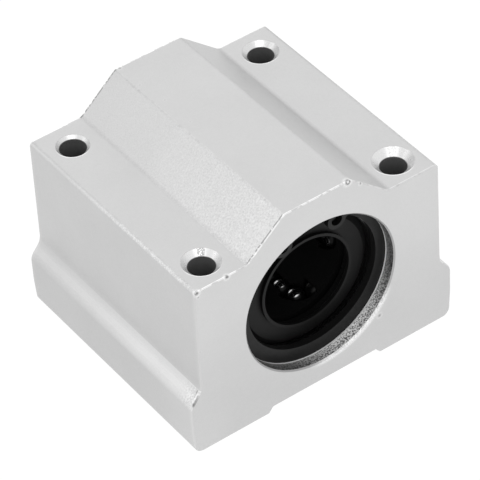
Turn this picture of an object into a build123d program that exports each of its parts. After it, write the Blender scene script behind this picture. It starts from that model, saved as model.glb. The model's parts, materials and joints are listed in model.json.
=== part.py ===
from build123d import *

# Linear bearing block: a sawn length of aluminium extrusion, bored through to hold
# a ball bushing for a round shaft, with a circlip in a groove at each mouth.
# X runs across the block, Y along the bore and Z up. The origin is the centre of the
# underside, and the front is the end at -Y. Lengths are millimetres, angles degrees.

import os
from math import cos, pi, radians, sin, sqrt

os.makedirs("parts", exist_ok=True)

# Extruded outline of the block, widths measured right across it
block_length = 44.0
block_height = 38.5
deck_height = 32.5
axis_height = 19.0
foot_width = 49.4
foot_draft_height = 5.0
flange_width = 50.0
flange_height = 10.0
step_height = 2.3
waist_width = 45.9
deck_width = 45.6
hump_foot_width = 26.5
hump_top_width = 12.4
channel_depth = 1.0
channel_roof_width = 20.0
channel_mouth_width = 21.7

# Radii of the extrusion die's corners
channel_corner_radius = 0.3
foot_corner_radius = 1.5
foot_draft_radius = 20.0
flange_corner_radius = 2.5
waist_corner_radius = 3.0
deck_corner_radius = 0.8
hump_root_radius = 1.5
hump_corner_radius = 1.0

# Edges broken after sawing and boring
sawn_edge_break = 0.15
bore_mouth_chamfer = 0.25

# Fastening holes, plain through the block for a bolt from above or a tap from below
bolt_spacing_x = 36.0
bolt_spacing_y = 34.0
bolt_hole_diameter = 4.3
tapping_chamfer_diameter = 5.4
# Each deck hole was countersunk by hand to its own depth
countersink_front_left = 6.2
countersink_front_right = 6.7
countersink_rear_left = 5.4
countersink_rear_right = 6.0

# Ball bushing
shaft_diameter = 16.0
bearing_diameter = 28.0
bearing_length = 37.0
bearing_edge_chamfer = 0.5
clip_groove_spacing = 26.5
clip_groove_width = 1.6
clip_groove_depth = 0.5
seat_clearance = 0.01

# Ball circuits: a loaded row on the shaft and a return row further out
circuit_count = 5
first_circuit_angle = -80.0
ball_diameter = 3.175
ball_gap = 0.02
ball_clearance = 0.06
race_clearance = 0.01
circuit_straight = 21.0
return_row_rise = 1.06
return_row_angle = 30.0
raceway_width = 3.2

# Cage that keeps the balls in their circuits
cage_length = 31.0
cage_shaft_gap = 0.35
cage_wall = 2.25
cage_collar_length = 0.7
cage_clearance = 0.05

# Snap ring that stops the cage at each end
snap_ring_thickness = 0.7
snap_ring_width = 1.6
snap_ring_opening = 60.0
snap_ring_bite = 0.45

# Rubber wiper seal at each end
seal_seat_diameter = 24.8
seal_clearance = 0.02
seal_recess = 0.15
seal_depth = 2.2
lip_width = 0.5
lip_height = 0.6
lip_land = 0.55
lip_undercut = 0.6
seal_flat_width = 2.7
seal_shoulder_drop = 0.85

# Circlip, an eccentric spring ring with an eye at each end of its gap
circlip_thickness = 1.2
circlip_groove_width = 1.3
circlip_groove_diameter = 29.4
circlip_clearance = 0.05
circlip_wide = 3.15
circlip_narrow = 1.85
circlip_end_play = 0.02
eye_circle_radius = 11.7
eye_angle = 25.5
eye_radius = 1.7
eye_hole_diameter = 2.0
eye_blend_radius = 0.5

# Radii and stations that follow from the sizes above
shaft_radius = shaft_diameter / 2
ball_radius = ball_diameter / 2
bore_radius = bearing_diameter / 2 + seat_clearance
bearing_end = bearing_length / 2
loaded_row_radius = shaft_radius + ball_radius
return_row_radius = loaded_row_radius + return_row_rise
pocket_radius = ball_radius + ball_clearance
raceway_radius = loaded_row_radius + ball_radius + race_clearance
sleeve_bore_radius = return_row_radius + ball_radius + ball_clearance
seal_seat_radius = seal_seat_diameter / 2
cage_bore_radius = shaft_radius + cage_shaft_gap
cage_end = cage_length / 2

# Lengthwise sections are drawn with X along the bore and Y out from its axis
bore_axis = Axis((0, 0, axis_height), (0, 1, 0))
bore_section = Plane(origin=(0, 0, axis_height), x_dir=(0, 1, 0), z_dir=(1, 0, 0))
# Cross-sections are drawn as seen from the front
bore_cross_section = Plane(origin=(0, 0, axis_height), x_dir=(1, 0, 0), z_dir=(0, -1, 0))
ends = (("front", -1), ("rear", 1))


def ring_section(station, length, inner_radius, outer_radius, mode=Mode.ADD):
    """Draw the section of a ring centred at a station along the bore."""
    with Locations((station, (inner_radius + outer_radius) / 2)):
        Rectangle(length, outer_radius - inner_radius, mode=mode)


def round_the_bore(radius, angle):
    """Point in the block's middle plane, at an angle from +X towards +Z."""
    return Vector(radius * cos(radians(angle)), 0, axis_height + radius * sin(radians(angle)))


# Housing
with BuildPart() as housing:
    with BuildSketch(Plane.XZ) as outline:
        with BuildLine():
            half = FilletPolyline(
                (0, channel_depth),
                (channel_roof_width / 2, channel_depth),
                (channel_mouth_width / 2, 0),
                (foot_width / 2, 0),
                (flange_width / 2, foot_draft_height),
                (flange_width / 2, flange_height),
                (waist_width / 2, flange_height + step_height),
                (deck_width / 2, deck_height),
                (hump_foot_width / 2, deck_height),
                (hump_top_width / 2, block_height),
                (0, block_height),
                radius=[
                    channel_corner_radius,
                    channel_corner_radius,
                    foot_corner_radius,
                    foot_draft_radius,
                    flange_corner_radius,
                    waist_corner_radius,
                    deck_corner_radius,
                    hump_root_radius,
                    hump_corner_radius,
                ],
            )
            mirror(half, about=Plane.YZ)
        make_face()
    extrude(amount=block_length / 2, both=True)

    for end_face in (housing.faces().sort_by(Axis.Y)[0], housing.faces().sort_by(Axis.Y)[-1]):
        chamfer(end_face.outer_wire().edges(), sawn_edge_break)

    with Locations(bore_cross_section):
        Hole(bore_radius)
    mouths = housing.faces().sort_by(Axis.Y)
    mouth_edges = mouths[0].inner_wires()[0].edges() + mouths[-1].inner_wires()[0].edges()
    chamfer(mouth_edges, bore_mouth_chamfer)

    # Circlip grooves, each just beyond the end of the bearing
    circlip_station = bearing_end + circlip_end_play + circlip_thickness / 2
    with BuildSketch(bore_section):
        for name, end in ends:
            ring_section(
                end * circlip_station,
                circlip_groove_width,
                shaft_radius,
                circlip_groove_diameter / 2,
            )
    revolve(axis=bore_axis, mode=Mode.SUBTRACT)

    # Deck holes, with a small chamfer below to start a tap
    for side, end, countersink in (
        (-1, -1, countersink_front_left),
        (1, -1, countersink_front_right),
        (-1, 1, countersink_rear_left),
        (1, 1, countersink_rear_right),
    ):
        hole_x = side * bolt_spacing_x / 2
        hole_y = end * bolt_spacing_y / 2
        with Locations((hole_x, hole_y, deck_height)):
            CounterSinkHole(bolt_hole_diameter / 2, countersink / 2, counter_sink_angle=90)
        with Locations(Location((hole_x, hole_y, 0), (180, 0, 0))):
            CounterSinkHole(
                bolt_hole_diameter / 2,
                tapping_chamfer_diameter / 2,
                depth=deck_height / 2,
                counter_sink_angle=90,
            )
housing.part.label = "housing"
export_step(housing.part, "parts/housing.step")

# Bearing sleeve, hardened steel, with a raised raceway over each loaded row
snap_ring_station = cage_end + cage_clearance + snap_ring_thickness / 2
snap_ring_outer_radius = sleeve_bore_radius + snap_ring_bite
with BuildPart() as bearing_sleeve:
    with BuildSketch(bore_section) as sleeve_section:
        ring_section(0, bearing_length, sleeve_bore_radius, bearing_diameter / 2)
        chamfer(sleeve_section.vertices().group_by(Axis.Y)[-1], bearing_edge_chamfer)
        for name, end in ends:
            # The end is filled in and then bored out, so that the seal has its seat
            # whether that is wider or narrower than the sleeve's bore
            seat_station = end * (bearing_end - seal_depth / 2)
            ring_section(seat_station, seal_depth, shaft_radius, sleeve_bore_radius)
            ring_section(
                seat_station,
                seal_depth,
                shaft_radius,
                seal_seat_radius,
                mode=Mode.SUBTRACT,
            )
            ring_section(
                end * clip_groove_spacing / 2,
                clip_groove_width,
                bearing_diameter / 2 - clip_groove_depth,
                bearing_diameter / 2,
                mode=Mode.SUBTRACT,
            )
            ring_section(
                end * snap_ring_station,
                snap_ring_thickness + 2 * cage_clearance,
                sleeve_bore_radius,
                snap_ring_outer_radius + cage_clearance,
                mode=Mode.SUBTRACT,
            )
    revolve(axis=bore_axis)
    race_height = sleeve_bore_radius + snap_ring_bite - raceway_radius
    with BuildSketch(bore_cross_section):
        with PolarLocations(raceway_radius + race_height / 2, circuit_count, first_circuit_angle):
            Rectangle(race_height, raceway_width)
    extrude(amount=circuit_straight / 2, both=True)
bearing_sleeve.part.label = "bearing_sleeve"
export_step(bearing_sleeve.part, "parts/bearing_sleeve.step")


# Each circuit is a racetrack lying in one plane, so its plane holds both rows
row_distance = sqrt(
    loaded_row_radius**2
    + return_row_radius**2
    - 2 * loaded_row_radius * return_row_radius * cos(radians(return_row_angle))
)
turn_radius = row_distance / 2


def circuit_plane(angle):
    """Plane midway between the two rows, X along the bore and Z outwards."""
    loaded = round_the_bore(loaded_row_radius, angle)
    returning = round_the_bore(return_row_radius, angle + return_row_angle)
    across = (returning - loaded).normalized()
    middle = (loaded + returning) * 0.5
    return Plane(origin=middle, x_dir=(0, 1, 0), z_dir=Vector(0, 1, 0).cross(across))


circuit_angles = [first_circuit_angle + 360 / circuit_count * i for i in range(circuit_count)]

# Cage, moulded in one piece
with BuildPart() as ball_cage:
    with BuildSketch(bore_section):
        ring_section(0, cage_length, cage_bore_radius, cage_bore_radius + cage_wall)
        for name, end in ends:
            ring_section(
                end * (cage_end - cage_collar_length / 2),
                cage_collar_length,
                cage_bore_radius,
                sleeve_bore_radius - cage_clearance,
            )
    revolve(axis=bore_axis)
    for angle in circuit_angles:
        track = circuit_plane(angle)
        # The track opens outwards, to the sleeve
        with BuildSketch(track):
            SlotCenterToCenter(circuit_straight, 2 * (turn_radius + pocket_radius))
            SlotCenterToCenter(
                circuit_straight,
                2 * (turn_radius - pocket_radius),
                mode=Mode.SUBTRACT,
            )
        extrude(amount=cage_wall, mode=Mode.SUBTRACT)
        # Its turns have a flat floor
        with BuildSketch(track):
            SlotCenterToCenter(circuit_straight, 2 * (turn_radius + pocket_radius))
            SlotCenterToCenter(
                circuit_straight,
                2 * (turn_radius - pocket_radius),
                mode=Mode.SUBTRACT,
            )
            Rectangle(
                circuit_straight,
                2 * (turn_radius + pocket_radius),
                mode=Mode.SUBTRACT,
            )
        extrude(amount=-pocket_radius, mode=Mode.SUBTRACT)
        # Its rows have a round floor, which the loaded balls reach through
        with BuildSketch(bore_cross_section):
            with PolarLocations(loaded_row_radius, 1, angle):
                Circle(pocket_radius)
            with PolarLocations(return_row_radius, 1, angle + return_row_angle):
                Circle(pocket_radius)
        extrude(amount=circuit_straight / 2, both=True, mode=Mode.SUBTRACT)
ball_cage.part.label = "ball_cage"
export_step(ball_cage.part, "parts/ball_cage.step")

# One ball, cut with flats from a cube so that ninety of them stay light. Its
# corners lie on the true ball, and every flat is as wide as its neighbours.
corner_ratio = sqrt(1 + 2 * (sqrt(2) - 1) ** 2)
flat_distance = ball_radius / corner_ratio
with BuildPart() as ball:
    Box(2 * flat_distance, 2 * flat_distance, 2 * flat_distance)
    chamfer(ball.edges(), flat_distance * (2 - sqrt(2)))

# Balls, spaced evenly round each racetrack
track_length = 2 * circuit_straight + 2 * pi * turn_radius
balls_per_circuit = int(track_length // (ball_diameter + ball_gap))
with BuildLine() as racetrack:
    loaded_line = Line(
        (-circuit_straight / 2, -turn_radius),
        (circuit_straight / 2, -turn_radius),
    )
    far_turn = ThreePointArc(
        loaded_line @ 1,
        (circuit_straight / 2 + turn_radius, 0),
        (circuit_straight / 2, turn_radius),
    )
    return_line = Line(far_turn @ 1, (-circuit_straight / 2, turn_radius))
    near_turn = ThreePointArc(
        return_line @ 1,
        (-circuit_straight / 2 - turn_radius, 0),
        loaded_line @ 0,
    )
ball_places = [
    racetrack.wires()[0].position_at((i + 0.5) / balls_per_circuit)
    for i in range(balls_per_circuit)
]
for number, angle in enumerate(circuit_angles, start=1):
    with BuildPart() as ball_circuit:
        with Locations(circuit_plane(angle)):
            with Locations(*ball_places):
                add(ball.part)
    ball_circuit.part.label = f"ball_circuit_{number}"
    export_step(ball_circuit.part, f"parts/ball_circuit_{number}.step")

# Snap ring in the sleeve at each end of the cage, open over part of a turn
for name, end in ends:
    with BuildPart() as snap_ring:
        with BuildSketch(bore_section):
            ring_section(
                end * snap_ring_station,
                snap_ring_thickness,
                snap_ring_outer_radius - snap_ring_width,
                snap_ring_outer_radius,
            )
        revolve(axis=bore_axis, revolution_arc=360 - snap_ring_opening)
    snap_ring.part.label = f"snap_ring_{name}"
    export_step(snap_ring.part, f"parts/snap_ring_{name}.step")

# Seals: a wiping lip stands up round the shaft from a flat rubber washer, whose outer
# shoulder slopes down into the sleeve
lip_foot_depth = seal_recess + lip_height
lip_outer_radius = shaft_radius + lip_width
lip_inner_end = seal_recess + lip_land
shoulder_foot_depth = lip_foot_depth + seal_shoulder_drop
seal_outer_radius = seal_seat_radius - seal_clearance


def seal_point(end, depth, radius):
    """Point of a seal's section, at a depth below that end of the sleeve."""
    return (end * (bearing_end - depth), radius)


for name, end in ends:
    with BuildPart() as seal:
        with BuildSketch(bore_section):
            with BuildLine():
                Polyline(
                    seal_point(end, shoulder_foot_depth, seal_outer_radius),
                    seal_point(end, seal_depth, seal_outer_radius),
                    seal_point(end, seal_depth, shaft_radius + lip_undercut),
                    seal_point(end, lip_inner_end + lip_undercut, shaft_radius + lip_undercut),
                    seal_point(end, lip_inner_end, shaft_radius),
                    seal_point(end, seal_recess, shaft_radius),
                    seal_point(end, seal_recess, lip_outer_radius),
                    seal_point(end, lip_foot_depth, lip_outer_radius),
                    seal_point(end, lip_foot_depth, lip_outer_radius + seal_flat_width),
                    close=True,
                )
            make_face()
        revolve(axis=bore_axis)
    seal.part.label = f"seal_{name}"
    export_step(seal.part, f"parts/seal_{name}.step")

# Circlips: a spring ring, widest opposite its gap, with an eye at each side of the gap,
# which faces straight up
circlip_outer_radius = circlip_groove_diameter / 2 - circlip_clearance
circlip_inner_radius = circlip_outer_radius - (circlip_wide + circlip_narrow) / 2
circlip_offset = (circlip_wide - circlip_narrow) / 2
gap_reach = circlip_groove_diameter
gap_side_x = gap_reach * sin(radians(eye_angle))
gap_root_y = eye_radius / sin(radians(eye_angle))
gap_side_y = gap_root_y + gap_reach * cos(radians(eye_angle))
eye_stem = circlip_outer_radius - circlip_narrow / 2 - eye_circle_radius


def at_each_eye(radius):
    """Places on both sides of the gap, each turned to point out from the bore's axis."""
    return PolarLocations(radius, 2, 90 - eye_angle, 2 * eye_angle, endpoint=True)


for name, end in ends:
    with BuildPart() as circlip:
        with BuildSketch(bore_cross_section.offset(-end * circlip_station)) as ring:
            Circle(circlip_outer_radius)
            with Locations((0, circlip_offset)):
                Circle(circlip_inner_radius, mode=Mode.SUBTRACT)
            with BuildLine():
                Polyline(
                    (0, gap_root_y),
                    (gap_side_x, gap_side_y),
                    (-gap_side_x, gap_side_y),
                    close=True,
                )
            make_face(mode=Mode.SUBTRACT)
            with at_each_eye(eye_circle_radius):
                Circle(eye_radius)
            with at_each_eye(eye_circle_radius + eye_stem / 2):
                Rectangle(eye_stem, 2 * eye_radius)
            inner_centre = Vector(0, circlip_offset)
            eye_roots = ring.vertices().filter_by(
                lambda v: abs((Vector(v.X, v.Y) - inner_centre).length - circlip_inner_radius) < 0.001
            )
            fillet(eye_roots, eye_blend_radius)
            with at_each_eye(eye_circle_radius):
                Circle(eye_hole_diameter / 2, mode=Mode.SUBTRACT)
        extrude(amount=circlip_thickness / 2, both=True)
    circlip.part.label = f"circlip_{name}"
    export_step(circlip.part, f"parts/circlip_{name}.step")

print("balls in each circuit:", balls_per_circuit)
print("turn radius of a circuit:", round(turn_radius, 3))
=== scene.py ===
# %% [markdown]
# # A linear bearing block
#
# The object is a sawn length of aluminium extrusion that holds a ball bushing for a
# round shaft. The block is bead-blasted and clear anodised, the bushing is closed by a
# black rubber wiper at each end, and a dark circlip at each mouth keeps it in its bore.
#
# The solids come from the CAD model, so this script doesn't build the block again. It
# loads those solids as a fixed frame and gives them their finishes, swaps the
# flat-sided balls of the solids for round ones, and sets up the camera and the light.

# %% Load the CAD solids
import json
from math import cos, radians, sin, tau

import bmesh
import bpy
from mathutils import Matrix, Vector


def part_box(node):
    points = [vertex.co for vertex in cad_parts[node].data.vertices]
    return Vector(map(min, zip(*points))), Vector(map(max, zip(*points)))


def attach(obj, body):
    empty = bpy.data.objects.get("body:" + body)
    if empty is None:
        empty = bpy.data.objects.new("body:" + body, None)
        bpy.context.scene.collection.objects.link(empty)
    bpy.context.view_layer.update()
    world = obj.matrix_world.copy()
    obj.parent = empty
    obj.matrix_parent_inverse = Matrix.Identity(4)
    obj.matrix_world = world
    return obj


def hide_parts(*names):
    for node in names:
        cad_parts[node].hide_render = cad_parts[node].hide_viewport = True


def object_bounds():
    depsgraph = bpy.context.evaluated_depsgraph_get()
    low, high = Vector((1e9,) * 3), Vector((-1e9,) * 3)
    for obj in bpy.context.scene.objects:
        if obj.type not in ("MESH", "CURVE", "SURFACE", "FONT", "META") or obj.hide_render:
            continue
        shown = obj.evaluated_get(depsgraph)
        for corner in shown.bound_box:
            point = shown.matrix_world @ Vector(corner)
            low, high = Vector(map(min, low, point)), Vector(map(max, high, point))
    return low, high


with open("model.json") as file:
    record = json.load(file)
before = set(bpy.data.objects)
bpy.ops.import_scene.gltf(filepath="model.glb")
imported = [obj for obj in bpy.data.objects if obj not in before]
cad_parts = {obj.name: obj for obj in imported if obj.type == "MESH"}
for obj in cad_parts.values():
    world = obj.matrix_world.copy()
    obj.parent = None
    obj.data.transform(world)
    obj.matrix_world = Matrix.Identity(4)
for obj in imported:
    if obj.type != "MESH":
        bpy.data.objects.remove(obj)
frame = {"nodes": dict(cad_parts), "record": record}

MM = 0.001

cad_low, cad_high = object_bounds()
block_size = (cad_high - cad_low) / MM
print("CAD box, mm:", [round(side, 2) for side in block_size])

# %% [markdown]
# ## Places on the block
#
# Finishes change from place to place: the bore is machined, the faces are blasted, the
# countersinks are bright. A finish needs to know where those places are. They could be
# typed in again, but then a change of the CAD model would leave them behind, so most
# are read from the frame: from the stated mounts and from the boxes of the nodes. Only
# the places in the extrusion's outline that no box gives are typed in. All the lengths
# below are millimetres, because a finish is easier to judge in them.

# %% Read the places from the frame
mounts = {mount["name"]: mount for mount in frame["record"]["mounts"]}


def node_box(node):
    """Lowest and highest corner of a CAD node, in millimetres."""
    low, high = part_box(node)
    return low / MM, high / MM


axis_height = mounts["shaft_bore"]["pos_m"][2] / MM
shaft_radius = mounts["shaft_bore"]["dims"]["r_mm"]
bolt_reach_x = mounts["deck_bolts"]["dims"]["spacing_x_mm"] / 2
bolt_reach_y = mounts["deck_bolts"]["dims"]["spacing_y_mm"] / 2
bolt_hole_radius = mounts["deck_bolts"]["dims"]["hole_r_mm"]

block_high = node_box("housing")[1]
block_end = block_high.y
hump_top = block_high.z
sleeve_low, sleeve_high = node_box("bearing_sleeve")
bearing_radius = (sleeve_high.x - sleeve_low.x) / 2
clip_face = block_end + node_box("circlip_front")[0].y

# Places in the outline of the extrusion that no box gives
deck_height = 32.5
deck_side = 22.8
hump_foot_x = 13.25
hump_corner_x = 6.2
flange_height = 10.0
waist_height = 12.3
print("bore axis at", axis_height, "mm, bearing radius", round(bearing_radius, 2), "mm")

# %% [markdown]
# ## Shader maths as expressions
#
# A finish is a network of small nodes. Wired up one by one, even a sum of three terms
# takes a dozen lines. So one class wraps a socket and gives it the arithmetic
# operators, and an expression on wrapped sockets adds the Math nodes by itself. A
# second class holds the node tree that is being made, and one method of it adds any
# other node. It knows nothing of materials, so the world and the Geometry Nodes use it
# too.


# %% Wrap a socket
class Wire:
    """A node's output, with arithmetic: an expression on wires adds Math nodes."""

    def __init__(self, nodes, socket):
        self.nodes = nodes
        self.socket = socket

    def math(self, operation, *others):
        terms = dict(enumerate((self, *others)))
        return self.nodes.node("ShaderNodeMath", {"operation": operation}, terms)

    def __add__(self, other):
        return self.math("ADD", other)

    def __radd__(self, other):
        return self.math("ADD", other)

    def __sub__(self, other):
        return self.math("SUBTRACT", other)

    def __rsub__(self, other):
        settings = {"operation": "SUBTRACT"}
        return self.nodes.node("ShaderNodeMath", settings, {0: other, 1: self})

    def __mul__(self, other):
        return self.math("MULTIPLY", other)

    def __rmul__(self, other):
        return self.math("MULTIPLY", other)

    def __truediv__(self, other):
        return self.math("DIVIDE", other)

    def __abs__(self):
        return self.math("ABSOLUTE")


# %% Hold the tree that is being made
class Nodes:
    """A node tree under construction."""

    def __init__(self, tree):
        self.tree = tree
        self.tree.nodes.clear()

    def add(self, kind, settings=None, sockets=None):
        """Add a node: its settings first, then the values or links of its sockets."""
        made = self.tree.nodes.new(kind)
        for name, value in (settings or {}).items():
            setattr(made, name, value)
        for name, value in (sockets or {}).items():
            if isinstance(value, Wire):
                self.tree.links.new(value.socket, made.inputs[name])
            else:
                made.inputs[name].default_value = value
        return made

    def node(self, kind, settings=None, sockets=None, output=0):
        """Add a node and wrap one of its outputs."""
        return Wire(self, self.add(kind, settings, sockets).outputs[output])


# %% Hold the material that is being made
class Finish(Nodes):
    """A material under construction. Every place and size in it is in millimetres."""

    def __init__(self, name):
        self.material = bpy.data.materials.new(name)
        self.material.use_nodes = True
        super().__init__(self.material.node_tree)
        here = self.node("ShaderNodeTexCoord", output="Object")
        scaled = {0: here, "Scale": 1 / MM}
        self.place = self.node("ShaderNodeVectorMath", {"operation": "SCALE"}, scaled)
        self.x, self.y, self.z = (
            self.node("ShaderNodeSeparateXYZ", sockets={0: self.place}, output=axis)
            for axis in range(3)
        )

    def rise(self, value, low, high):
        """0 below low, 1 above high, and an S curve between the two."""
        sockets = {"Value": value, "From Min": low, "From Max": high}
        return self.node("ShaderNodeMapRange", {"interpolation_type": "SMOOTHSTEP"}, sockets)

    def band(self, value, low, high, soft):
        """1 between low and high, fading to 0 over a soft edge at each."""
        return self.rise(value, low - soft, low) * (1 - self.rise(value, high, high + soft))

    def distance(self, a, b):
        """Length of the hypotenuse over two sides."""
        return (a * a + b * b).math("SQRT")

    def lay(self, tone, other, mask):
        """A tone with another one laid over it where the mask is 1."""
        return tone + (other - tone) * mask

    def grain(self, per_mm, detail=2.0, vector=None, roughness=0.5):
        """Soft noise from 0 to 1 round a middle of 0.5, with per_mm spots to a millimetre."""
        sockets = {
            "Vector": vector or self.place,
            "Scale": per_mm,
            "Detail": detail,
            "Roughness": roughness,
        }
        return self.node("ShaderNodeTexNoise", {"noise_dimensions": "3D"}, sockets)

    def grey(self, level):
        """A wire from 0 to 1 as a neutral colour."""
        sockets = {"Red": level, "Green": level, "Blue": level}
        return self.node("ShaderNodeCombineColor", sockets=sockets)

    def skin(self, colour, roughness, metallic, height=None, **fixed):
        """A Principled shader, with a height in millimetres for its relief."""
        sockets = {"Base Color": colour, "Roughness": roughness, "Metallic": metallic}
        sockets.update({name.replace("_", " "): value for name, value in fixed.items()})
        if height is not None:
            relief = {"Height": height, "Distance": MM, "Strength": 1.0}
            sockets["Normal"] = self.node("ShaderNodeBump", sockets=relief)
        return self.node("ShaderNodeBsdfPrincipled", sockets=sockets)

    def close(self, shader):
        """Send a shader to the material's surface and hand the material over."""
        self.add("ShaderNodeOutputMaterial", sockets={"Surface": shader})
        print("finish:", self.material.name, "with", len(self.tree.nodes), "nodes")
        return self.material


# %% [markdown]
# ## Blasted, anodised aluminium
#
# The block is sawn from an extrusion, drilled and bored, blasted with fine beads and
# anodised clear. The blasting leaves an even matt grain, and what was machined after it
# is bright: the countersinks, the broken edges and the mouth of the bore. Their
# highlights are painted into the tone, as are light and shade on the blasted faces. One
# material per finish would need the faces sorted by hand. One material that asks how
# far each point lies from the bore's axis, from the holes and from the sawn ends finds
# those places by itself. So this finish starts by measuring.


# %% Measure a point of the block
class BlockFinish(Finish):
    """The housing's material. Later steps give it the masks of its surfaces by name."""

    def __init__(self, name):
        super().__init__(name)
        self.above_axis = self.z - axis_height
        self.bore_radius = self.distance(self.x, self.above_axis)
        self.from_middle = abs(self.x)
        self.from_end = block_end - abs(self.y)

        # -1 on the left and in front, 1 on the right and behind
        self.side = self.x.math("SIGN")
        self.end = self.y.math("SIGN")
        self.hole_x = self.x - self.side * bolt_reach_x
        self.hole_y = self.y - self.end * bolt_reach_y
        self.hole_radius = self.distance(self.hole_x, self.hole_y)
        self.left = 1 - self.rise(self.x, -0.1, 0.1)
        self.at_right_holes = self.rise(self.x, -1.0, 1.0)
        self.at_rear_holes = self.rise(self.y, -1.0, 1.0)
        self.toward_front = 1 - self.rise(self.y, -block_end, block_end)
        self.near_front = 1 - self.rise(self.y, -block_end, -0.2 * block_end)

        # Grains that several steps share: two of the beads, and one of a cutting tool
        self.fine = self.grain(5.5, 2.0)
        self.coarse = self.grain(1.6, 2.0)
        self.torn = self.grain(3.8, 3.0, roughness=0.7)


# %% [markdown]
# ### Masks of the surfaces
#
# A mask is a wire that is 1 on a surface and 0 elsewhere. Masks multiply, so a surface
# that is hard to name in one go is made from easy ones: the bored wall is what lies
# near the bore's axis and isn't at an end. Each mask fades over a fraction of a
# millimetre, because a hard step would show as jagged pixels.

# %% Mask the ends and the bore
# The chamfer of the bore's mouth, and how far outside the bearing's radius the mask of
# the bore reaches to take in the circlip's groove
mouth_chamfer = 0.25
groove_depth = 0.72

# How far a sawn face, its edges and the lip of the circlip's groove reach along the
# block, and how far an upper edge reaches downwards
sawn_skin = 0.012
sawn_edge_width = 0.24
groove_lip_width = 0.25
upper_edge_depth = 0.4

# Where the painted highlight of the mouth's burr thins out, and where it ends, outside the
# bearing's radius
burr_highlight_start = 0.30
burr_highlight_end = 1.15


def mask_ends_and_bore(block):
    """Masks of the bore, its mouth, the sawn faces and their edges."""
    bore_limit = bearing_radius + groove_depth
    within_mouth = 1 - block.rise(block.bore_radius, bore_limit, bore_limit + 0.04)
    at_end = 1 - block.rise(block.from_end, mouth_chamfer - 0.03, mouth_chamfer + 0.01)
    block.in_bore = within_mouth * (1 - at_end)
    block.chamfer = within_mouth * at_end * block.rise(block.from_end, 0.01, 0.03)
    past_mouth = block.rise(block.bore_radius - bearing_radius, burr_highlight_start, burr_highlight_end)
    block.mouth_ring = at_end * (1 - past_mouth)
    lip_end = clip_face - 0.05
    lip = block.band(block.from_end, lip_end - groove_lip_width, lip_end, 0.05)
    block.groove_lip = block.in_bore * lip

    block.sawn_face = 1 - block.rise(block.from_end, 0.0, sawn_skin)
    sawn_edge = block.band(block.from_end, sawn_skin, sawn_edge_width, 0.10)
    sawn_edge = sawn_edge * (1 - within_mouth) * (1 - block.sawn_face)
    upper = block.rise(block.z, deck_height - upper_edge_depth, deck_height - 0.1)
    block.upper_edge = sawn_edge * upper
    block.lower_edge = sawn_edge - block.upper_edge


# %% Mask the holes
# How deep and how far out from a hole's middle its countersink can reach
sink_depth = 1.3
sink_reach = 3.5


def mask_holes(block):
    """Masks of the decks, the countersinks and the drilled holes."""
    sink_floor = deck_height - sink_depth
    in_sink = block.rise(block.z, sink_floor, sink_floor + 0.05)
    near_hole = 1 - block.rise(block.hole_radius, sink_reach, sink_reach + 0.1)
    block.on_deck = block.rise(block.z, deck_height - 0.02, deck_height - 0.01)
    block.sink = in_sink * near_hole * (1 - block.on_deck)
    wall = bolt_hole_radius + 0.03
    block.drilled = 1 - block.rise(block.hole_radius, wall, wall + 0.05)


# %% Mask the hump's slopes and the block's sides
def mask_slopes_and_sides(block):
    """Masks of the hump's slopes and left edge, and of the sides from deck to flange."""
    off_end = 1 - block.sawn_face
    on_slope = block.band(block.from_middle, hump_corner_x, hump_foot_x, 0.3)
    on_slope = on_slope * block.rise(block.z, deck_height + 0.02, deck_height + 0.08) * off_end
    block.left_slope = on_slope * block.left
    block.right_slope = on_slope - block.left_slope
    top_corner = block.band(block.from_middle, hump_corner_x - 0.15, hump_corner_x + 0.2, 0.1)
    at_top = block.rise(block.z, hump_top - 0.5, hump_top - 0.4)
    block.hump_edge = top_corner * block.left * at_top

    block.beside = block.rise(block.from_middle, deck_side - 0.10, deck_side) * off_end
    over_waist = block.rise(block.z, waist_height + 0.15, waist_height + 0.30)
    over_flange = block.rise(block.z, flange_height - 1.0, flange_height + 0.3)
    block.side_wall = block.beside * over_waist
    block.flare = block.beside * over_flange * (1 - over_waist)
    block.flange_side = block.beside * (1 - over_flange)
    at_side = block.rise(block.from_middle, deck_side - 0.75, deck_side - 0.35)
    block.side_corner = at_side * block.rise(block.z, deck_height - 0.7, deck_height - 0.35)


# %% [markdown]
# ### The blasted skin
#
# An even grey is the start, and the beads' grain goes over it. Over that, light and shade
# are painted in: a sheen with sparkle on the left slope and a pale band on the flare under
# the waist, both most of all toward the front, a lighter right slope, highlights in rubbed
# specks along the decks' outer corners, a darker side wall and rear flange, and sawn ends
# that lighten upwards. Each is a small step in tone on its own mask.

# %% Give the blasted skin its tone
anodised_tone = 0.620

# Where the painted glitter on the flare's front end thins out along Y, and where the
# painted light on a sawn end's foot corner begins, outwards and downwards
flare_glitter_start = -21.5
flare_glitter_end = -17.0
foot_corner_x = 16.0
foot_corner_height = 14.0


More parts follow.
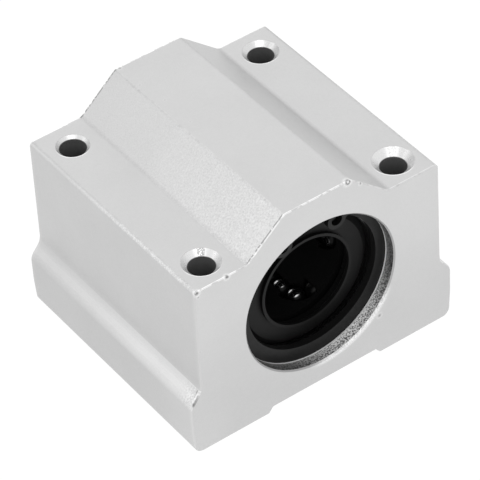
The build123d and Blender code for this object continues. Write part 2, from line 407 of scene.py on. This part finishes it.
def blasted(block):
    """Tone of the blasted skin with its painted light and shade, before anything is machined.
    """
    cloud = block.grain(0.12, 2.0)
    pitting = block.grain(3.4, 2.0) - 0.5
    # The beads' grain, stronger on the left slope as a painted sparkle of light
    sparkle = 0.10 + 0.10 * block.left_slope
    tone = anodised_tone + (block.fine - 0.5) * sparkle
    tone = tone + (block.coarse - 0.5) * 0.03 + (cloud - 0.5) * 0.04

    # The slopes: a painted sheen on the left one and painted light on the right one, both
    # stronger toward the front. Then the hump's left edge, lifted with painted light, with its
    # specks
    sheen = 0.072 * block.toward_front + 0.015 * block.near_front - 0.005
    sheen = sheen + 0.38 * pitting * block.toward_front
    tone = tone + sheen * block.left_slope
    tone = tone + (0.02 + 0.02 * block.near_front) * block.right_slope
    specks = block.rise(block.grain(0.8, 3.0), 0.52, 0.66)
    tone = tone + (0.035 - 0.06 * specks) * block.hump_edge

    # The sides, from the deck's corner down to the flange, with their painted light and shade
    # A painted highlight along the deck's rounded outer corner, broken into rubbed specks and
    # fading toward the rear
    rubbed_highlights = block.rise(block.fine + 0.5 * block.coarse, 0.68, 0.86)
    front_most = 1 - 0.9 * block.rise(block.y, -0.4 * block_end, 0.7 * block_end)
    tone = tone + (0.02 + 0.13 * rubbed_highlights) * block.side_corner * front_most
    # Painted shade on the side wall, and a painted pale band of light on the flare that is
    # paler toward the front
    tone = tone - 0.02 * block.side_wall + (0.005 + 0.11 * block.toward_front) * block.flare
    # Painted glitter of light on the flare's front end, from the blasting's grain
    flare_front_glitter = block.flare * (1 - block.rise(block.y, flare_glitter_start, flare_glitter_end))
    tone = tone + 0.7 * pitting * flare_front_glitter
    # Painted shade on the flange's side, darker away from the front
    tone = tone - 0.05 * (1 - block.near_front) * block.flange_side

    # The sawn ends: painted light that rises upwards, with more of it on the left foot corner
    up_the_end = block.rise(block.z, 0.1 * deck_height, 0.9 * deck_height)
    tone = tone + 0.055 * up_the_end * block.sawn_face
    out_at_foot = block.rise(block.from_middle, foot_corner_x, foot_corner_x + 8.0)
    low_down = 1 - block.rise(block.z, foot_corner_height - 10.0, foot_corner_height)
    return tone + 0.025 * out_at_foot * low_down * block.sawn_face * block.left


# %% [markdown]
# ### The bored wall
#
# A boring tool tears soft aluminium a little. The light on the wall is painted: the torn
# marks show where light strikes the wall and hardly where it doesn't, so their strength
# follows the angle round the axis, and the wall is lighter further in. The mouth has a
# burr on the same side, with a painted highlight, which reaches a little way over the end.

# %% Bore the housing
# Side of the bore that faces the light, where its painted light is strongest, as a
# direction over the block's end
bore_glow_turn = radians(-62)
bore_glow_x, bore_glow_z = cos(bore_glow_turn), sin(bore_glow_turn)
bore_shade_tone = 0.05
bore_chamfer_tone = 0.45
# A painted highlight on the lip of the circlip's groove
groove_lip_highlight_tone = 1.0
# The painted highlight of the burr round the mouth
burr_highlight_tone = 0.92


def bored(block, tone):
    """The tone with the bored wall's painted light, its chamfer and the burr's painted
    highlight.
    """
    # Painted light on the wall: a glow on the side that faces the light, stronger on the torn
    # marks, and more of it further in
    facing = (block.x * bore_glow_x + block.above_axis * bore_glow_z) / block.bore_radius
    glow = ((facing - 0.45) / 0.55).math("MAXIMUM", 0.0).math("POWER", 3.0)
    marks = block.rise(block.torn, 0.44, 0.56)
    deeper = block.rise(block.from_end, 0.8, clip_face - 0.4)
    wall = bore_shade_tone + 0.18 * marks + glow * (0.15 + 0.95 * marks)
    wall = wall + (0.08 + 0.25 * glow) * deeper
    # The painted highlight on the lip of the circlip's groove
    wall = block.lay(wall, groove_lip_highlight_tone, block.groove_lip)
    # The burr's painted highlight, on the side of the mouth that faces the light
    lit_burr = block.rise(facing, 0.76, 0.92)
    lit_burr = lit_burr * (0.5 + 0.5 * block.rise(block.grain(3.5, 2.0), 0.4, 0.6))
    tone = block.lay(tone, wall, block.in_bore)
    tone = block.lay(tone, bore_chamfer_tone, block.chamfer)
    return block.lay(tone, burr_highlight_tone, block.mouth_ring * lit_burr)


# %% [markdown]
# ### The countersinks
#
# The four holes were countersunk by hand, each to its own width. The cone's shine is
# painted on the side that faces the light, dimmer in the rear holes, and a duller stripe
# is painted into it, most plainly in the front left hole. Opposite, the rim has a painted
# highlight, a bright line in the deck.

# %% Countersink the holes
# Side of a cone where its shine is painted, and place of the duller stripe painted into
# it, as directions over the deck
shine_turn = radians(76)
shine_x, shine_y = cos(shine_turn), sin(shine_turn)
dull_stripe_turn = radians(56)
dull_stripe_x, dull_stripe_y = cos(dull_stripe_turn), sin(dull_stripe_turn)

# Radius of a countersink's rim: the mean of all, what being on the right adds and on the
# left takes away, and what being in front adds and behind takes away
rim_radius = 3.04
rim_wider_right = 0.14
rim_wider_front = 0.19
# Width of the painted highlight along a countersink's rim
rim_highlight_width = 0.12

cone_tone = 0.72
# Tone of the painted highlight along a countersink's rim
rim_highlight_tone = 0.90
# Tone of the drilled holes, painted dark as shade
hole_shade_tone = 0.19


def countersunk(block, tone):
    """The tone with the countersinks' painted shine and the shaded holes below them."""
    facing = (block.hole_x * shine_x + block.hole_y * shine_y) / block.hole_radius
    block.shiny = block.rise(facing, 0.0, 0.75)
    # Painted shine on each cone's side that faces the light, dimmer in the rear holes, with a
    # duller stripe painted into it
    shine = cone_tone + 0.24 * block.shiny + (block.torn - 0.5) * 0.24
    shine = shine - 0.08 * block.at_rear_holes
    to_dull_stripe = (block.hole_x * dull_stripe_x + block.hole_y * dull_stripe_y) / block.hole_radius
    dull_stripe = block.rise(to_dull_stripe, 0.968, 0.985) * block.rise(block.fine, 0.38, 0.52)
    dull_stripe = dull_stripe * (1 - 0.5 * block.at_right_holes) * (1 - 0.85 * block.at_rear_holes)
    tone = block.lay(tone, shine * (1 - 0.6 * dull_stripe), block.sink)

    rim = rim_radius + rim_wider_right * block.side - rim_wider_front * block.end
    # A painted highlight along each rim, opposite the duller stripe
    rim_highlight = block.band(block.hole_radius - rim, 0.0, rim_highlight_width, 0.03) * block.on_deck
    rim_highlight = rim_highlight * (1 - block.rise(to_dull_stripe, -0.9, -0.3))
    tone = block.lay(tone, rim_highlight_tone, rim_highlight)
    # The drilled holes, painted dark as shade
    return block.lay(tone, hole_shade_tone + 0.04 * block.torn, block.drilled)


# %% [markdown]
# ### The sawn edges
#
# The edges that the saw left carry painted highlights: the upper ones bright in dashes,
# the lower ones hardly lighter, and a soft band up the sides near the ends. Soft noise
# with a threshold makes the dashes. The line is fainter at the hump's left foot and from
# its right slope on, and it is ragged up the left slope, with a burr's painted shadows as
# dark nicks behind it.

# %% Saw the ends
# Tone of the painted highlight on the upper edges
saw_edge_highlight_tone = 0.95

# How far out from the hump's left foot the line is faint, and where a burr's painted
# shadows lie behind a sawn face
faint_reach = 1.6
burr_shadow_start = 0.18
burr_shadow_end = 0.38


def sawn(block, tone):
    """The tone with the painted highlights and burr shadows on the edges of both ends."""
    dashes = block.rise(block.grain(1.3, 1.0), 0.50, 0.66)
    ragged = block.rise(block.grain(2.2, 1.0), 0.40, 0.48)
    past_hump = block.rise(block.x, hump_corner_x, hump_corner_x + 0.4)
    before_hump = block.band(block.x, -hump_foot_x - faint_reach, -hump_foot_x, 0.5)
    strength = (1 - 0.55 * past_hump) * (1 - 0.6 * before_hump)
    strength = strength * (1 - (0.1 + 0.25 * ragged) * block.left_slope)
    # Painted highlights: bright dashes on the upper edges, a faint line on the lower ones and a
    # soft band up the sides near the ends
    tone = block.lay(tone, saw_edge_highlight_tone - 0.22 * dashes, block.upper_edge * strength)
    tone = tone + 0.03 * block.lower_edge
    tone = tone + 0.025 * block.beside * (1 - block.rise(block.from_end, 0.3, 1.1))
    # Painted shadow under a burr: dark nicks behind the ragged line up the left slope
    burr_shadows = block.band(block.from_end, burr_shadow_start, burr_shadow_end, 0.03) * block.left_slope * ragged
    return tone * (1 - 0.5 * burr_shadows)


# %% [markdown]
# ### Knocks and scratches
#
# The block has a few knocks on its front edges, and specks on its hump and left edge.
# Each is two ball-shaped masks at a place: a wide one for the bright rim, a painted
# highlight, and a narrower one for the dark floor inside it, painted shade over a small
# dent in the relief. A scratch is a mask on the distance to a line.


# %% Make a spot and a streak
def spot(finish, place, size):
    """1 at a place, falling to 0 at a size from it."""
    subtract = {"operation": "SUBTRACT"}
    length = {"operation": "LENGTH"}
    offset = finish.node("ShaderNodeVectorMath", subtract, {0: finish.place, 1: place})
    span = finish.node("ShaderNodeVectorMath", length, {0: offset}, output="Value")
    return 1 - finish.rise(span, 0.0, size)


def streak(finish, start, end, width):
    """1 on the line between two places, falling to 0 at a width from it."""
    run = Vector(end) - Vector(start)
    heading = tuple(run.normalized())
    subtract = {"operation": "SUBTRACT"}
    dot = {"operation": "DOT_PRODUCT"}
    scale = {"operation": "SCALE"}
    distance = {"operation": "DISTANCE"}
    offset = finish.node("ShaderNodeVectorMath", subtract, {0: finish.place, 1: start})
    along = finish.node("ShaderNodeVectorMath", dot, {0: offset, 1: heading}, output="Value")
    along = along.math("MAXIMUM", 0.0).math("MINIMUM", run.length)
    nearest = finish.node("ShaderNodeVectorMath", scale, {0: heading, "Scale": along})
    gap = finish.node("ShaderNodeVectorMath", distance, {0: offset, 1: nearest}, output="Value")
    return 1 - finish.rise(gap, 0.0, width)


# %% Knock and scratch the block
# The place, the size and the depth of each knock. One of negative depth is a light speck,
# a painted highlight.
knocks = (
    ((-22.4, -22.0, 32.3), 1.00, 0.95),
    ((-16.9, -22.0, 32.4), 0.95, 0.80),
    ((5.7, -22.0, 38.3), 1.20, 0.90),
    ((5.7, -22.0, 38.3), 0.60, -2.00),
    ((8.0, -22.0, 36.8), 0.60, 0.60),
    ((-22.6, -22.0, 20.5), 0.35, 0.25),
    ((10.84, -22.0, 7.9), 0.90, 0.45),
    ((-22.2, -22.0, 31.4), 0.50, 0.35),
    ((-23.0, -12.4, 32.4), 0.60, -0.30),
    ((-5.5, 21.6, 38.5), 0.70, 0.45),
    ((-5.4, 16.2, 38.5), 0.40, 0.20),
    ((-4.5, 10.8, 38.5), 0.40, 0.20),
    ((-4.5, 4.1, 38.5), 0.40, 0.20),
    ((0.7, 13.0, 38.5), 0.30, 0.12),
    ((-2.9, 13.2, 38.5), 0.30, 0.12),
)

# Scratches on the flare's front corner: the two ends, the width and the change of tone
scratches = (
    ((-23.6, -21.6, 11.8), (-24.3, -21.6, 11.0), 0.30, 0.20),
    ((-23.7, -22.0, 11.7), (-24.6, -22.0, 10.4), 0.48, -0.48),
    ((-23.2, -21.3, 12.2), (-23.9, -21.3, 11.4), 0.26, -0.30),
    ((-23.5, -21.2, 12.1), (-24.3, -21.1, 11.2), 0.30, -0.12),
)

# Size of a knock's floor, painted as shade, as a share of the whole knock's
floor_share = 0.6


def knocked(block, tone):
    """The tone with the knocks' painted shade and highlights, whose dents go to the relief too.
    """
    floor, rim = 0.0, 0.0
    # Painted shade on each knock's floor and a painted highlight on its rim
    for place, size, depth in knocks:
        floor = floor + spot(block, place, floor_share * size) * depth
        rim = rim + spot(block, place, size) * depth
    ragged = 0.45 + 0.55 * block.rise(block.grain(4.0, 1.0), 0.35, 0.60)
    block.dent = floor * ragged
    tone = tone + 0.5 * (rim - floor) * ragged
    tone = tone * (1 - block.dent)
    for start, end, width, change in scratches:
        tone = tone + change * streak(block, start, end, width)
    return tone


# %% [markdown]
# ### The whole finish
#
# Each step lays its tone over the last one's, and the other values follow from the same
# masks. Machined metal is smoother than blasted metal. The bored wall, the holes and the
# sides of the cones that are turned away from the light are less metallic, because metal
# there would mirror only the dark beside it. The beads, the tools, the knocks and the
# thread leave relief.

# %% Put the housing's finish together
# The holes are tapped from below. The solids leave the thread out, so it is relief here.
tapped_depth = 12.0
thread_pitch = 0.8

# Heights in millimetres of what the beads, the tools, the knocks and the thread leave
bead_relief = 0.020
pit_relief = 0.012
tool_relief = 0.020
knock_relief = 0.05
thread_relief = 0.12


def aluminium_finish():
    block = BlockFinish("blasted_aluminium")
    mask_ends_and_bore(block)
    mask_holes(block)
    mask_slopes_and_sides(block)
    tone = blasted(block)
    for step in (bored, countersunk, sawn, knocked):
        tone = step(block, tone)

    machined = (block.in_bore + block.sink).math("MINIMUM", 1.0)
    roughness = 0.50 - 0.20 * machined + (block.fine - 0.5) * 0.2
    turned_away = block.sink * (1 - block.drilled) * (1 - block.shiny)
    metal = 1.0 - 0.6 * block.drilled - block.in_bore - 0.7 * turned_away
    thread = (block.z * (tau / thread_pitch)).math("SINE") * block.drilled
    thread = thread * (1 - block.rise(block.z, tapped_depth - 0.1, tapped_depth))
    relief = (block.fine * bead_relief + block.coarse * pit_relief) * (1 - machined)
    relief = relief + block.torn * machined * tool_relief
    relief = relief - block.dent * knock_relief + thread * thread_relief
    return block.close(block.skin(block.grey(tone), roughness, metal, relief))


aluminium = aluminium_finish()

# %% [markdown]
# ## Dark spring steel
#
# The circlips and the small snap rings are stamped or coiled from spring steel,
# phosphated and oiled. The phosphate is a very fine crystalline skin: nearly black,
# satin, with a faint mottle.


# %% Make the clips' finish
phosphate_tone = 0.009
phosphate_gloss = 0.22


def phosphated_finish():
    finish = Finish("phosphated_spring_steel")
    crystals = finish.grain(9.0, 3.0)
    oil = finish.grain(0.7, 2.0)
    tone = phosphate_tone + (crystals - 0.5) * 0.009 + (oil - 0.5) * 0.008
    roughness = 0.42 + (crystals - 0.5) * 0.2 - (oil - 0.5) * 0.15
    skin = finish.skin(
        finish.grey(tone), roughness, 0.0, crystals * 0.006, Specular_IOR_Level=phosphate_gloss
    )
    return finish.close(skin)


phosphated = phosphated_finish()

# %% [markdown]
# ## Moulded rubber and resin
#
# The wiper seals are moulded rubber with a satin skin, and the cage behind them is
# black resin. Both are almost black, so what shows is their sheen. They differ in tone,
# in sheen and in the size of their mottle, so one function works out both from those. A
# seal is made of a lit and a shaded copy of its skin: a duller copy is laid over its
# lowest part as painted shade.


# %% Work out a moulded skin
def moulded_skin(finish, tone, gloss, dullness, mottle):
    """The shader of a moulded black skin."""
    moulding = finish.grain(mottle, 3.0)
    wear = finish.grain(0.5, 2.0)
    shade = tone + (moulding - 0.5) * tone + (wear - 0.5) * tone * 0.6
    roughness = dullness + (moulding - 0.5) * 0.15 + (wear - 0.5) * 0.12
    return finish.skin(
        finish.grey(shade), roughness, 0.0, moulding * 0.008, Specular_IOR_Level=gloss
    )


# %% Make the seals' and the cage's finishes
# Side of a seal where a painted shade dulls it, as a direction over the block's end
seal_shade_turn = radians(-80)
seal_shade_x, seal_shade_z = cos(seal_shade_turn), sin(seal_shade_turn)
seal_tone = 0.006
cage_tone = 0.004


def seal_finish():
    finish = Finish("seal_rubber_skin")
    lit_seal = moulded_skin(finish, seal_tone, gloss=0.18, dullness=0.50, mottle=6.0)
    shaded_seal = moulded_skin(finish, seal_tone, gloss=0.07, dullness=0.55, mottle=6.0)
    above_axis = finish.z - axis_height
    radius = finish.distance(finish.x, above_axis)
    # A duller copy of the skin is mixed over the lowest part as painted shade
    facing = (finish.x * seal_shade_x + above_axis * seal_shade_z) / radius
    low_shade = facing.math("MAXIMUM", 0.0).math("POWER", 4.0)
    mixed = finish.node("ShaderNodeMixShader", sockets={0: low_shade, 1: lit_seal, 2: shaded_seal})
    return finish.close(mixed)


def cage_finish():
    finish = Finish("cage_resin_skin")
    return finish.close(moulded_skin(finish, cage_tone, gloss=0.13, dullness=0.60, mottle=4.0))


seal_rubber = seal_finish()
cage_resin = cage_finish()

# %% [markdown]
# ## Ground and polished steel
#
# The sleeve is hardened and ground: fine scratches run round it. The balls are lapped
# to a mirror, but only a cap on the crest of each loaded ball keeps its mirror, most of all
# in the lowest row, and none past the rows' ends. The rest is dark, grease together with
# painted shade, so a ball shows only the glints on its cap. Bare metal takes its look from
# what it reflects, and a little unevenness in its roughness keeps it from looking perfect.


# %% Make the sleeve's finish
sleeve_tone = 0.22
ring_grain = 12.0


def ground_finish():
    finish = Finish("ground_bearing_steel")
    radius = finish.distance(finish.x, finish.z - axis_height)
    across = {0: radius * ring_grain, 1: finish.y * ring_grain}
    rings = finish.node("ShaderNodeCombineXYZ", sockets=across)
    scratches = finish.grain(1.0, 3.0, vector=rings)
    stain = finish.grain(0.4, 2.0)
    tone = sleeve_tone + (scratches - 0.5) * 0.08 - (stain - 0.5) * 0.06
    roughness = 0.30 + (scratches - 0.5) * 0.2
    return finish.close(finish.skin(finish.grey(tone), roughness, 1.0, scratches * 0.003))


ground_steel = ground_finish()


# %% Make the balls' finish
# Where the loaded rows end along Y, how far the caps that keep their mirror reach beyond
# the shaft's radius, and how far out the lowest row reaches
row_end = 13.3
crest_reach = 0.22
lowest_row_reach = 2.6
# Tone of a cap's bare mirror, and tone and gloss of the grease and painted shade over the rest
# of a ball
glint_tone = 0.63
grease_and_shade_tone = 0.004
grease_and_shade_gloss = 0.12


def polished_finish():
    finish = Finish("lapped_ball_steel")
    radius = finish.distance(finish.x, finish.z - axis_height)
    crest = shaft_radius + crest_reach
    # A cap on the crest keeps the mirror. Past the rows' ends, and less off the lowest row, the
    # ball is painted dark as shade
    glint_cap = 1 - finish.rise(radius, crest, crest + 0.2)
    glint_cap = glint_cap * (1 - finish.rise(abs(finish.y), row_end - 0.3, row_end + 0.2))
    beside = finish.rise(abs(finish.x), lowest_row_reach, lowest_row_reach + 1.0)
    glint_cap = glint_cap * (1 - 0.6 * beside)
    haze = finish.grain(2.5, 2.0)
    tone = grease_and_shade_tone + glint_tone * glint_cap + (haze - 0.5) * grease_and_shade_tone
    roughness = 0.30 - 0.20 * glint_cap + (haze - 0.5) * 0.06
    bare = (glint_cap * 10.0).math("MINIMUM", 1.0)
    skin = finish.skin(finish.grey(tone), roughness, bare, Specular_IOR_Level=grease_and_shade_gloss)
    return finish.close(skin)


polished_steel = polished_finish()

# %% [markdown]
# ## Dress the solids
#
# A CAD node keeps its mesh and its place. Only the material in its slot changes.

# %% Put the finishes on the CAD nodes
finish_of_slot = {
    "housing_aluminium": aluminium,
    "bearing_steel": ground_steel,
    "cage_resin": cage_resin,
    "ball_steel": polished_steel,
    "spring_steel": phosphated,
    "seal_rubber": seal_rubber,
}
slot_of_node = {
    part["node"]: part["material_slot"] for part in frame["record"]["subparts"]
}
for node, slot in slot_of_node.items():
    solid = frame["nodes"][node]
    for number in range(len(solid.data.materials)):
        solid.data.materials[number] = finish_of_slot[slot]
print("dressed", len(slot_of_node), "nodes")

# %% [markdown]
# ## Round balls
#
# Each of the five circuits holds eighteen loose steel balls. In the solids a ball has
# flats, so that ninety of them stay light, and its corners lie on the true ball.
# Here they become round. The balls could be placed by working out the racetrack again,
# but every flat-sided ball already stands at its centre, so the centres are read from
# the solids, and Geometry Nodes sets a sphere on each one.


# %% Read the balls from a circuit's solids
def balls_in(node):
    """Centre of each ball of a circuit, and the balls' radius, in metres."""
    mesh = bmesh.new()
    mesh.from_mesh(frame["nodes"][node].data)
    bmesh.ops.remove_doubles(mesh, verts=mesh.verts, dist=0.001 * MM)
    centres = []
    radius = 0.0
    left = dict.fromkeys(mesh.verts)
    while left:
        reached = [left.popitem()[0]]
        for corner in reached:
            for edge in corner.link_edges:
                next_corner = edge.other_vert(corner)
                if next_corner in left:
                    del left[next_corner]
                    reached.append(next_corner)
        centre = sum((corner.co for corner in reached), Vector()) / len(reached)
        radius = max(radius, max((corner.co - centre).length for corner in reached))
        centres.append(centre)
    mesh.free()
    return sorted(centres, key=lambda c: (round(c.y, 6), c.z)), radius


# %% Build the tree that sets a ball on each centre
ball_tree_inputs = {
    "Centres": "NodeSocketGeometry",
    "Ball Radius": "NodeSocketFloat",
    "Roundness": "NodeSocketInt",
    "Ball Finish": "NodeSocketMaterial",
}


def ball_tree():
    """Geometry Nodes: a smooth sphere of a given radius on every point."""
    tree = bpy.data.node_groups.new("balls_on_centres", "GeometryNodeTree")
    for name, kind in ball_tree_inputs.items():
        tree.interface.new_socket(name, in_out="INPUT", socket_type=kind)
    tree.interface.new_socket("Balls", in_out="OUTPUT", socket_type="NodeSocketGeometry")
    nodes = Nodes(tree)
    centres, radius, roundness, finish = (
        nodes.node("NodeGroupInput", output=name) for name in ball_tree_inputs
    )
    size = {"Radius": radius, "Subdivisions": roundness}
    sphere = nodes.node("GeometryNodeMeshIcoSphere", sockets=size)
    smooth = nodes.node("GeometryNodeSetShadeSmooth", sockets={"Geometry": sphere})
    where = {"Points": centres, "Instance": smooth}
    placed = nodes.node("GeometryNodeInstanceOnPoints", sockets=where)
    real = nodes.node("GeometryNodeRealizeInstances", sockets={"Geometry": placed})
    paint = {"Geometry": real, "Material": finish}
    painted = nodes.node("GeometryNodeSetMaterial", sockets=paint)
    nodes.add("NodeGroupOutput", sockets={"Balls": painted})
    return tree


def socket_id(tree, name):
    """Identifier of a tree's input, which is what a modifier is set by."""
    return next(
        item.identifier
        for item in tree.interface.items_tree
        if item.name == name and item.in_out == "INPUT"
    )


# %% Make a plain mesh of what a tree gives
def grown(name, points, tree, inputs):
    """Run a tree on points and keep the result as a plain mesh object."""
    seed_mesh = bpy.data.meshes.new(name)
    seed_mesh.from_pydata(points, [], [])
    piece = bpy.data.objects.new(name, seed_mesh)
    bpy.context.scene.collection.objects.link(piece)
    modifier = piece.modifiers.new("tree", "NODES")
    modifier.node_group = tree
    for label, value in inputs.items():
        modifier[socket_id(tree, label)] = value
    bpy.context.view_layer.update()
    seen = piece.evaluated_get(bpy.context.evaluated_depsgraph_get())
    mesh = bpy.data.meshes.new_from_object(seen)
    piece.modifiers.remove(modifier)
    piece.data = mesh
    bpy.data.meshes.remove(seed_mesh)
    return piece


# %% Set round balls in the five circuits
ball_roundness = 3
balls_on_centres = ball_tree()
circuits = sorted(node for node in slot_of_node if node.startswith("ball_circuit_"))
for node in circuits:
    centres, ball_radius = balls_in(node)
    name = node.replace("ball_circuit", "round_balls")
    inputs = {
        "Ball Radius": ball_radius,
        "Roundness": ball_roundness,
        "Ball Finish": polished_steel,
    }
    balls = grown(name, centres, balls_on_centres, inputs)
    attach(balls, "root")
    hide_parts(node)
    print(balls.name, len(centres), "balls, diameter", round(2 * ball_radius / MM, 3), "mm")

# %% [markdown]
# ## Camera
#
# The picture was taken from above the front left corner with a long lens: the block's
# parallel edges hardly converge. The camera is set by how far it is turned, tipped and
# rolled, and by its distance and its shifts from the middle of the block's underside.

# %% Set the camera
view_turn = radians(33.629)
view_tip = radians(42.191)
view_roll = radians(-3.775)
view_distance = 522.81 * MM
view_shift_across = -0.350 * MM
view_shift_up = 10.708 * MM
sensor_width = 36.0
focal_pixels = 3272.5
image_width = 480

forward = Vector((
    sin(view_turn) * cos(view_tip),
    cos(view_turn) * cos(view_tip),
    -sin(view_tip),
))
level = Vector((cos(view_turn), -sin(view_turn), 0))
upright = level.cross(forward)
across = cos(view_roll) * level + sin(view_roll) * upright
up = cos(view_roll) * upright - sin(view_roll) * level

camera_data = bpy.data.cameras.new("camera")
camera_data.sensor_width = sensor_width
camera_data.lens = focal_pixels / image_width * sensor_width
camera_data.clip_start = 0.01
camera_data.clip_end = 20.0
camera = bpy.data.objects.new("camera", camera_data)
bpy.context.scene.collection.objects.link(camera)
camera_place = view_shift_across * across + view_shift_up * up - view_distance * forward
camera.matrix_world = (
    Matrix.Translation(camera_place) @ Matrix((across, up, -forward)).transposed().to_4x4()
)
bpy.context.scene.camera = camera
print("camera at", [round(value / MM, 1) for value in camera_place], "mm")

# %% [markdown]
# ## Light and background
#
# Small products are photographed in a light tent, so light comes from nearly all
# around and the shadows all but vanish. The world stands for the tent. A low soft lamp
# at the rear left gives the hump's left slope its sheen, one from behind and above
# lights the decks, and one at the front keeps the front face as light as they are. The
# floor is white and stays white to the camera, with only a breath of shadow.


# %% Light the tent
tent_strength = 0.7


def tent_world(strength):
    """White all round: plain white where it is seen or mirrored, softer as a lamp."""
    world = bpy.data.worlds.new("light_tent")
    world.use_nodes = True
    tent = Nodes(world.node_tree)
    seen = tent.node("ShaderNodeLightPath", output="Is Camera Ray")
    mirrored = tent.node("ShaderNodeLightPath", output="Is Glossy Ray")
    passed = tent.node("ShaderNodeLightPath", output="Is Transmission Ray")
    direct = seen.math("MAXIMUM", mirrored).math("MAXIMUM", passed)
    level = {"Value": direct, "To Min": strength, "To Max": 1.0}
    level = tent.node("ShaderNodeMapRange", sockets=level)
    light = tent.node("ShaderNodeBackground", sockets={"Strength": level})
    tent.add("ShaderNodeOutputWorld", sockets={"Surface": light})
    return world


bpy.context.scene.world = tent_world(tent_strength)
bpy.context.scene.view_settings.view_transform = "Standard"
print("tent lights at", tent_strength, "of the white that the camera sees")


# %% Hang the lamps
def soft_lamp(name, turn, height, reach, width, watts):
    """A square lamp aimed at the block: angles in degrees, reach and width in metres."""
    lamp_data = bpy.data.lights.new(name, "AREA")
    lamp_data.size = width
    lamp_data.energy = watts
    lamp = bpy.data.objects.new(name, lamp_data)
    bpy.context.scene.collection.objects.link(lamp)
    turn, height = radians(turn), radians(height)
    direction = Vector((sin(turn) * cos(height), -cos(turn) * cos(height), sin(height)))
    middle = (cad_low + cad_high) / 2
    lamp.location = middle + reach * direction
    lamp.rotation_euler = direction.to_track_quat("Z", "Y").to_euler()
    print(name, "at", [round(value / MM) for value in lamp.location], "mm")


soft_lamp("rear_left_lamp", turn=226, height=26, reach=0.9, width=0.6, watts=0.75)
soft_lamp("rear_lamp", turn=150, height=48, reach=0.9, width=0.8, watts=1.0)
soft_lamp("front_lamp", turn=330, height=45, reach=0.9, width=0.7, watts=1.1)


# %% Lay the floor
floor_half = 3.0
floor_shadow_share = 0.12


def floor_finish(shadow_share):
    """White to the camera and in reflections, with a share of it open to shadow."""
    finish = Finish("tent_floor")
    cloth = finish.grain(0.02, 2.0)
    colour = finish.grey(shadow_share + cloth * 0.01)
    shaded = finish.node("ShaderNodeBsdfDiffuse", sockets={"Color": colour})
    glow = finish.node("ShaderNodeEmission", sockets={"Strength": 1 - shadow_share / 2})
    both = finish.node("ShaderNodeAddShader", sockets={0: glow, 1: shaded})
    return finish.close(both)


floor_mesh = bpy.data.meshes.new("floor")
floor_corners = [
    (-floor_half, -floor_half, 0),
    (floor_half, -floor_half, 0),
    (floor_half, floor_half, 0),
    (-floor_half, floor_half, 0),
]
floor_mesh.from_pydata(floor_corners, [], [(0, 1, 2, 3)])
floor = bpy.data.objects.new("floor", floor_mesh)
floor_mesh.materials.append(floor_finish(floor_shadow_share))
bpy.context.scene.collection.objects.link(floor)
print("floor is", 2 * floor_half, "m wide")
